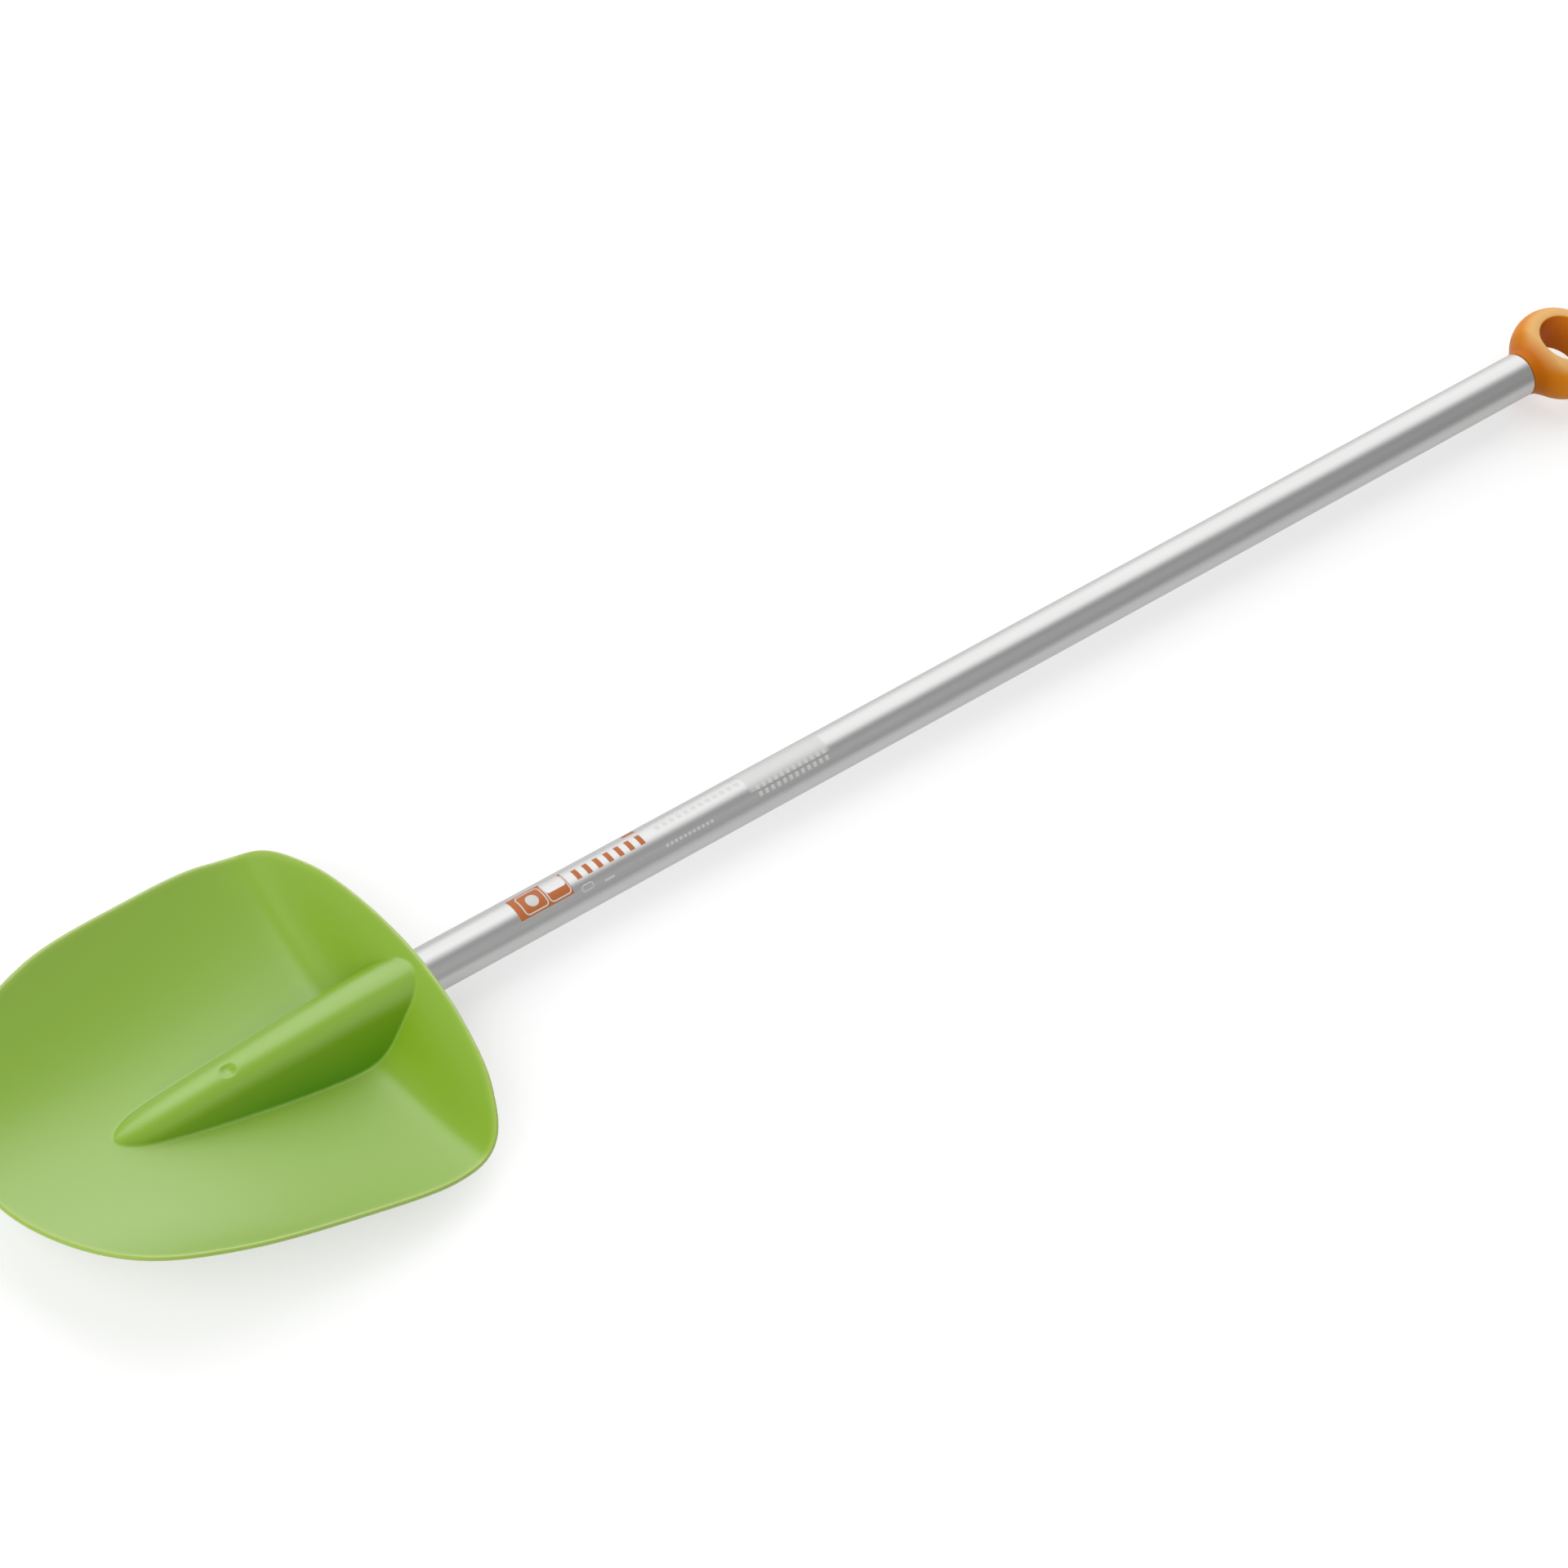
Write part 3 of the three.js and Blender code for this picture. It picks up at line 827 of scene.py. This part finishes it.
class Graph:
    """The nodes of one material or world."""

    def __init__(self, tree: bpy.types.NodeTree) -> None:
        """Starts with an empty tree."""
        self.tree = tree
        self.tree.nodes.clear()

    def node(
        self,
        kind: str,
        settings: dict[str, object] | None = None,
        inputs: dict[int | str, Operand] | None = None,
        output: int | str = 0,
    ) -> Value:
        """Adds a node.

        Args:
            kind: The node's type.
            settings: Its properties.
            inputs: Values, numbers or colours for its inputs.
            output: The output to hand back.

        Returns:
            That output.
        """
        made = self.tree.nodes.new(kind)
        for key, setting in (settings or {}).items():
            setattr(made, key, setting)
        for key, given in (inputs or {}).items():
            if isinstance(given, Value):
                self.tree.links.new(given.socket, made.inputs[key])
            elif isinstance(given, tuple) and made.inputs[key].type == "RGBA":
                made.inputs[key].default_value = (*given, 1.0)
            else:
                made.inputs[key].default_value = given
        return Value(self, made.outputs[output] if len(made.outputs) else None)

    def mix(self, share: Operand, first: Operand, second: Operand) -> Value:
        """Mixes two colours.

        Args:
            share: Share of the second colour.
            first: The first colour.
            second: The second colour.

        Returns:
            The mixed colour.
        """
        colour_a, colour_b, mixed_colour = 6, 7, 2
        inputs = {0: share, colour_a: first, colour_b: second}
        return self.node("ShaderNodeMix", {"data_type": "RGBA"}, inputs, mixed_colour)

    def place(self) -> tuple[Value, Value, Value, Value]:
        """The shaded point in the object's own frame: as a whole, and its X, Y and Z."""
        whole = self.node("ShaderNodeTexCoord", output="Object")
        parts = [self.node("ShaderNodeSeparateXYZ", inputs={0: whole}, output=i) for i in range(3)]
        return whole, *parts

    def noise(self, place: Value, scale: float, detail: float, stretch: Triple = (1, 1, 1)) -> Value:
        """Cloudy noise about nought.

        Args:
            place: Where to read it.
            scale: Waves per metre.
            detail: Finer layers.
            stretch: Scale along each axis.

        Returns:
            The noise.
        """
        inputs = {"Vector": place, "Scale": stretch}
        drawn = self.node("ShaderNodeMapping", inputs=inputs)
        inputs = {"Vector": drawn, "Scale": scale, "Detail": detail}
        middle = 0.5
        return self.node("ShaderNodeTexNoise", inputs=inputs) - middle

    def stored(self, name: str) -> Value:
        """A number that the mesh holds at its points, or 0 where it holds none."""
        return self.node("ShaderNodeAttribute", {"attribute_name": name}, output="Fac")

    def bump(self, height: Value, distance: float, strength: float) -> Value:
        """A normal tilted by a height, of which 1 stands proud by the distance."""
        inputs = {"Height": height, "Distance": distance, "Strength": strength}
        return self.node("ShaderNodeBump", inputs=inputs)

    def surface(self, inputs: dict[str, Operand]) -> None:
        """Ends the graph in a principled surface with these inputs."""
        shader = self.node("ShaderNodeBsdfPrincipled", inputs=inputs)
        self.end("ShaderNodeOutputMaterial", shader)

    def end(self, kind: str, shader: Value) -> None:
        """Ends the graph in an output node."""
        self.node(kind, inputs={"Surface": shader})


def new_material(name: str) -> tuple[bpy.types.Material, Graph]:
    """Makes an empty material and its graph."""
    material = bpy.data.materials.new(name)
    material.use_nodes = True
    return material, Graph(material.node_tree)


@dataclass(frozen=True)
class MouldedPlastic:
    """Satin moulded plastic, a little cloudy.

    It is mixed towards its pale colour on top faces and along the rim, where the mesh's rim attribute
    says so, as a painted highlight, and takes a darker colour and less coat where its side attribute
    says so, as painted shade.
    """

    name: str
    colour: Colour
    # Pale colour of the random cloudy mottle, and of the painted highlight on top and along the rim.
    pale: Colour
    # Darker colour of the painted shade where the side attribute is set.
    painted_shade_colour: Colour
    # Share, start and full point of the painted highlight along the rim.
    rim_highlight_share: float = 0.0
    rim_starts: float = 0.35
    rim_full: float = 0.8
    # Share, start and full point of the painted highlight on upward faces.
    top_highlight_share: float = 0.0
    top_starts: float = 0.5
    top_full: float = 1.0
    roughness: float = 0.42
    roughness_change: float = 0.12
    specular: float = 0.5
    coat: float = 1.0
    coat_index: float = 1.62
    coat_roughness: float = 0.36
    cloud: float = 0.04
    cloud_scale: float = 28.0
    cloud_detail: float = 3.0
    fine_scale: float = 252.0
    fine_detail: float = 4.0
    grain_scale: float = 1400.0
    grain_detail: float = 2.0
    grain_height: float = 0.02 * MM
    grain_strength: float = 0.4

    def material(self) -> bpy.types.Material:
        """Builds the finish.

        Returns:
            The material.
        """
        material, graph = new_material(self.name)
        whole, *_ = graph.place()
        cloud = graph.noise(whole, self.cloud_scale, self.cloud_detail)
        fine = graph.noise(whole, self.fine_scale, self.fine_detail)
        grain = graph.noise(whole, self.grain_scale, self.grain_detail)
        normal = graph.node("ShaderNodeNewGeometry", output="Normal")
        up = graph.node("ShaderNodeSeparateXYZ", inputs={0: normal}, output=2)
        # Painted highlight along the rim and on upward faces.
        rim = graph.stored("rim").ramp(self.rim_starts, self.rim_full)
        top = up.ramp(self.top_starts, self.top_full)
        # Painted shade where the side attribute is set, which also takes the coat away there.
        side = graph.stored("side")
        # Random cloudy mottle plus the painted highlight.
        mottle_and_highlight = (cloud + fine + 1.0) * self.cloud + rim * self.rim_highlight_share + top * self.top_highlight_share
        colour = graph.mix(side, graph.mix(mottle_and_highlight, self.colour, self.pale), self.painted_shade_colour)
        graph.surface({
            "Base Color": colour,
            "Roughness": fine * self.roughness_change + self.roughness,
            "Normal": graph.bump(grain, self.grain_height, self.grain_strength),
            "Specular IOR Level": self.specular,
            "Coat Weight": (1.0 - side) * self.coat,
            "Coat Roughness": self.coat_roughness,
            "Coat IOR": self.coat_index,
        })
        return material


@dataclass(frozen=True)
class Pen:
    """Draws the masks of marks, at a place along the tube and round it from the top towards -Y."""

    along: Value
    around: Value
    soft: float = 0.12 * MM

    def inside(self, away: Value) -> Value:
        """A soft-edged mask that is 1 where a distance is negative."""
        return away.ramp(self.soft, -self.soft)

    def bar(self, mark: Mark, corner: float = 0.0) -> Value:
        """A filled rectangle.

        Args:
            mark: Its start and end along, then its start and end around.
            corner: Radius of its corners.

        Returns:
            A mask that is 1 inside.
        """
        start, end, first, last = mark
        over_x = abs(self.along - (start + end) / 2) - ((end - start) / 2 - corner)
        over_y = abs(self.around - (first + last) / 2) - ((last - first) / 2 - corner)
        if not corner:
            return self.inside(over_x | over_y)
        over_x, over_y = over_x | 0.0, over_y | 0.0
        away = (over_x * over_x + over_y * over_y).math("SQRT")
        return self.inside(away - corner)

    def frame(self, mark: Mark, corner: float, line: float) -> Value:
        """The outline of a rectangle with rounded corners.

        Args:
            mark: Its start and end along, then its start and end around.
            corner: Radius of its corners.
            line: Width of the line.

        Returns:
            A mask that is 1 on the line.
        """
        start, end, first, last = mark
        inner = (start + line, end - line, first + line, last - line)
        return self.bar(mark, corner) & (1.0 - self.bar(inner, corner - line))

    def dashes(self, mark: Mark, pitch: float, filled: float) -> Value:
        """A row of equal dashes.

        Args:
            mark: Its start and end along, then its start and end around.
            pitch: Length of a dash and its gap.
            filled: Share of the pitch that is dash.

        Returns:
            A mask that is 1 on the dashes.
        """
        half = filled * pitch / 2
        from_middle = abs((self.along - mark[0]) % pitch - half)
        return self.inside(from_middle - half) & self.bar(mark)


def mark_at(start: float, end: float, first: float, last: float) -> Mark:
    """A mark's start and end along and then around the tube, given in millimetres."""
    return start * MM, end * MM, first * MM, last * MM


@dataclass(frozen=True)
class Prints:
    """The plain marks on the tube, with the sizes of their corners, lines and dashes."""

    orange_ink: Colour = (0.40, 0.105, 0.015)
    white_ink: Colour = (0.54, 0.54, 0.53)
    block: Mark = mark_at(42.7, 66.9, -5.8, 4.6)
    window: Mark = mark_at(57.3, 66.0, -6.5, 0.2)
    window_corner: float = 1.2 * MM
    stripes: Mark = mark_at(70.8, 105, -3.7, 1.0)
    stripe_pitch: float = 4.9 * MM
    stripe_fill: float = 0.45
    tick: Mark = mark_at(97.5, 103, -8.2, -6.2)
    squares: tuple[Mark, ...] = (mark_at(45.6, 56.2, -5.2, 4.0), mark_at(56.8, 66.6, -5.2, 4.0))
    square_corner: float = 1.8 * MM
    square_line: float = 0.5 * MM
    disc: Mark = mark_at(48.4, 53.4, -3.1, 1.9)
    disc_radius: float = 2.4 * MM
    badge: Mark = mark_at(70.2, 75.6, 3.6, 6.2)
    badge_corner: float = 1.2 * MM
    badge_line: float = 0.4 * MM
    stub: Mark = mark_at(80.2, 84.8, 5.6, 6.4)
    fine_row: Mark = mark_at(109, 131.5, 5.0, 6.2)
    fine_pitch: float = 2.1 * MM
    fine_fill: float = 0.6
    twin_rows: tuple[Mark, ...] = (mark_at(153.4, 187, 1.6, 3.5), mark_at(153.4, 187, 4.4, 6.3))
    twin_pitch: float = 2.9 * MM
    twin_fill: float = 0.55
    patch: Mark = mark_at(150.5, 188.4, -7, 3.4)
    faint_row: Mark = mark_at(109, 149, -3.4, -1.2)
    faint_pitch: float = 3.4 * MM
    faint_fill: float = 0.7
    thinness: float = 0.45

    def orange(self, pen: Pen) -> Value:
        """Draws what is in orange ink.

        Args:
            pen: Draws the marks.

        Returns:
            The ink's mask.
        """
        window = pen.bar(self.window, self.window_corner)
        stripes = pen.dashes(self.stripes, self.stripe_pitch, self.stripe_fill)
        return (pen.bar(self.block) & (1.0 - window)) | stripes | pen.bar(self.tick)

    def white(self, pen: Pen) -> Value:
        """Draws what is in white ink.

        Args:
            pen: Draws the marks.

        Returns:
            The ink's mask.
        """
        white = pen.bar(self.disc, self.disc_radius) | pen.bar(self.stub)
        white = white | pen.frame(self.badge, self.badge_corner, self.badge_line)
        white = white | pen.dashes(self.fine_row, self.fine_pitch, self.fine_fill)
        for square in self.squares:
            white = white | pen.frame(square, self.square_corner, self.square_line)
        for row in self.twin_rows:
            white = white | pen.dashes(row, self.twin_pitch, self.twin_fill)
        return white

    def thin(self, pen: Pen) -> Value:
        """Draws what is in thin white ink, as a mask that stays below 1."""
        row = pen.dashes(self.faint_row, self.faint_pitch, self.faint_fill)
        return (pen.bar(self.patch) | row) * self.thinness


@dataclass(frozen=True)
class DrawnAluminium:
    """Satin drawn tube with fine lengthwise lines and printed marks."""

    fit: Fit
    shift: Vector
    prints: Prints = Prints()
    colour: Colour = (0.51, 0.51, 0.507)
    shade: Colour = (0.32, 0.32, 0.32)
    shade_share: float = 0.1
    shade_change: float = 0.2
    line_scale: float = 900.0
    line_stretch: Triple = (0.012, 1, 1)
    line_height: float = 0.002 * MM
    line_strength: float = 0.1
    cloud_scale: float = 60.0
    cloud_stretch: Triple = (0.3, 1, 1)
    detail: float = 3.0
    roughness: float = 0.4
    line_roughness: float = 0.06
    cloud_roughness: float = 0.04
    ink_roughness: float = 0.18

    def material(self) -> bpy.types.Material:
        """Builds the finish.

        Returns:
            The material.
        """
        material, graph = new_material("drawn_aluminium")
        whole, x, y, z = graph.place()
        angle = (-y).math("ARCTAN2", z - self.shift.z)
        pen = Pen(x - self.shift.x, angle * self.fit.tube_radius)
        prints = self.prints
        orange, white, thin = prints.orange(pen), prints.white(pen), prints.thin(pen)
        lines = graph.noise(whole, self.line_scale, self.detail, self.line_stretch)
        cloud = graph.noise(whole, self.cloud_scale, self.detail, self.cloud_stretch)
        colour = graph.mix(lines * self.shade_change + self.shade_share, self.colour, self.shade)
        colour = graph.mix(thin, colour, prints.white_ink)
        colour = graph.mix(orange, colour, prints.orange_ink)
        colour = graph.mix(white, colour, prints.white_ink)
        printed = orange | white | thin
        roughness = lines * self.line_roughness + cloud * self.cloud_roughness + self.roughness
        graph.surface({
            "Base Color": colour,
            "Metallic": 1.0 - printed,
            "Roughness": roughness + printed * self.ink_roughness,
            "Normal": graph.bump(lines, self.line_height, self.line_strength),
        })
        return material


@dataclass(frozen=True)
class PlatedSteel:
    """Plated steel with a fine grain."""

    colour: Colour = (0.30, 0.31, 0.32)
    bright: Colour = (0.42, 0.42, 0.41)
    bright_share: float = 0.5
    grain_scale: float = 700.0
    grain_detail: float = 4.0
    grain_height: float = 0.02 * MM
    grain_strength: float = 0.3
    roughness: float = 0.3
    roughness_change: float = 0.2

    def material(self) -> bpy.types.Material:
        """Builds the finish.

        Returns:
            The material.
        """
        material, graph = new_material("plated_steel")
        whole, *_ = graph.place()
        grain = graph.noise(whole, self.grain_scale, self.grain_detail)
        graph.surface({
            "Base Color": graph.mix(grain + self.bright_share, self.colour, self.bright),
            "Metallic": 1.0,
            "Roughness": grain * self.roughness_change + self.roughness,
            "Normal": graph.bump(grain, self.grain_height, self.grain_strength),
        })
        return material


@dataclass(frozen=True)
class Panel:
    """A large soft light that faces the middle of the spade.

    Reflections show it only where it is mirrored, and matt faces take its light only where it lights.
    """

    name: str
    way: Vector
    distance: float
    width: float
    depth: float
    brightness: float
    mirrored: bool = True
    lights: bool = True

    def hang(self) -> None:
        """Makes the light, with its width at right angles to Y."""
        lamp = bpy.data.lights.new(self.name, "AREA")
        lamp.shape = "RECTANGLE"
        lamp.size = self.width
        lamp.size_y = self.depth
        lamp.energy = math.pi * self.brightness * self.width * self.depth
        back = self.way.normalized()
        across = Vector((0, 1, 0)).cross(back).normalized()
        turn = Matrix((across, back.cross(across), back)).transposed()
        light = bpy.data.objects.new(self.name, lamp)
        light.matrix_world = Matrix.Translation(back * self.distance) @ turn.to_4x4()
        light.visible_camera = False
        light.visible_glossy = self.mirrored
        light.visible_diffuse = self.lights
        bpy.context.scene.collection.objects.link(light)


@dataclass
class Studio:
    """A pale floor, large soft panels, an even surround and the camera."""

    placement: Placement
    floor_size: float = 60.0
    floor_colour: Colour = (0.50, 0.50, 0.50)
    floor_glow: float = 0.52
    surround: float = 0.36
    panels: tuple[Panel, ...] = (
        Panel(
            name="back_panel", way=Vector((0.545, 0.605, 0.583)), distance=2.0,
            width=3.8, depth=2.6, brightness=1.5,
        ),
        Panel(
            name="top_panel", way=Vector((0.0, 0.3, 0.95)), distance=2.0,
            width=0.7, depth=1.6, brightness=1.0,
        ),
        Panel(
            name="front_panel", way=Vector((-0.8, -0.15, 0.55)), distance=1.8,
            width=1.6, depth=1.6, brightness=2.8, mirrored=False,
        ),
        Panel(
            name="side_panel", way=Vector((0.36, -0.70, 0.60)), distance=2.0,
            width=1.2, depth=1.8, brightness=0.5, lights=False,
        ),
    )
    lens: float = 131.25
    sensor: float = 36.0
    eye: Vector = field(default_factory=lambda: Vector((-893.9, -719.3, 1661.6)) * MM)
    right: Vector = field(default_factory=lambda: Vector((0.7566, -0.6163, 0.2183)))
    up: Vector = field(default_factory=lambda: Vector((0.4135, 0.7096, 0.5705)))

    def build_floor(self) -> None:
        """Lays the floor, which looks white to the camera and in reflections, and keeps its shadow."""
        half = self.floor_size / 2
        corners = [(-half, -half, 0), (half, -half, 0), (half, half, 0), (-half, half, 0)]
        mesh = bpy.data.meshes.new("floor")
        mesh.from_pydata(corners, [], [(0, 1, 2, 3)])
        floor = bpy.data.objects.new("floor", mesh)
        bpy.context.scene.collection.objects.link(floor)
        material, graph = new_material("pale_floor")
        plain = graph.node("ShaderNodeBsdfDiffuse", inputs={"Color": self.floor_colour})
        white = {"Color": (1.0, 1.0, 1.0), "Strength": self.floor_glow}
        glow = graph.node("ShaderNodeEmission", inputs=white)
        bright = graph.node("ShaderNodeAddShader", inputs={0: plain, 1: glow})
        rays = ("Is Camera Ray", "Is Glossy Ray", "Is Transmission Ray")
        camera, glossy, through = (graph.node("ShaderNodeLightPath", output=ray) for ray in rays)
        seen = camera | glossy | through
        shown = graph.node("ShaderNodeMixShader", inputs={0: seen, 1: plain, 2: bright})
        graph.end("ShaderNodeOutputMaterial", shown)
        mesh.materials.append(material)

    def build_light(self) -> None:
        """Hangs the soft panels and sets the surround."""
        for panel in self.panels:
            panel.hang()
        world = bpy.data.worlds.new("surround")
        world.use_nodes = True
        graph = Graph(world.node_tree)
        even = (self.surround, self.surround, self.surround)
        graph.end("ShaderNodeOutputWorld", graph.node("ShaderNodeBackground", inputs={"Color": even}))
        bpy.context.scene.world = world

    def build_camera(self) -> None:
        """Stands the camera where the photograph was taken from."""
        data = bpy.data.cameras.new("camera")
        data.lens = self.lens
        data.sensor_width = self.sensor
        camera = bpy.data.objects.new("camera", data)
        back = self.right.cross(self.up)
        turn = Matrix((self.right, self.up, back)).transposed()
        camera.matrix_world = Matrix.Translation(self.eye + self.placement.shift) @ turn.to_4x4()
        bpy.context.scene.collection.objects.link(camera)
        bpy.context.scene.camera = camera
        bpy.context.scene.view_settings.view_transform = "Standard"


def main() -> None:
    """Builds the pieces, the studio and the camera."""
    logging.basicConfig(level=logging.INFO, format="%(name)s %(message)s")
    fit = Fit()
    placement = Placement.from_tube(fit.tube_depth)
    green = MouldedPlastic(
        name="green_moulding",
        colour=(0.195, 0.365, 0.002),
        # Pale colour for the mottle and the painted highlight along the rim; darker colour for the
        # painted shade down the hump's -Y side.
        pale=(0.33, 0.45, 0.06),
        painted_shade_colour=(0.075, 0.27, 0.0),
        rim_highlight_share=0.5,
    )
    orange = MouldedPlastic(
        name="orange_moulding",
        colour=(0.69, 0.215, 0.0),
        # Pale colour for the mottle and the painted highlight on top faces; darker colour for the
        # painted shade next to the tube's end.
        pale=(0.72, 0.56, 0.26),
        painted_shade_colour=(0.50, 0.13, 0.0),
        top_highlight_share=0.5,
        specular=0.1,
        coat=0.0,
    )
    aluminium = DrawnAluminium(fit, placement.shift)
    steel = PlatedSteel().material()

    Blade(fit).build(placement, green.material())
    Tube(fit).build(placement, aluminium.material())
    Grip(fit).build(placement, orange.material())
    grip_screw_place = fit.tube_end - fit.grip_screw_setback
    screws = (
        Screw(fit, "blade_screw", "blade_fixing", -fit.blade_screw_setback, fit.blade_seat),
        Screw(fit, "grip_screw", "grip_fixing", grip_screw_place, fit.tube_radius),
    )
    for screw in screws:
        screw.build(placement, steel)

    studio = Studio(placement)
    studio.build_floor()
    studio.build_light()
    studio.build_camera()


if __name__ == "__main__":
    main()
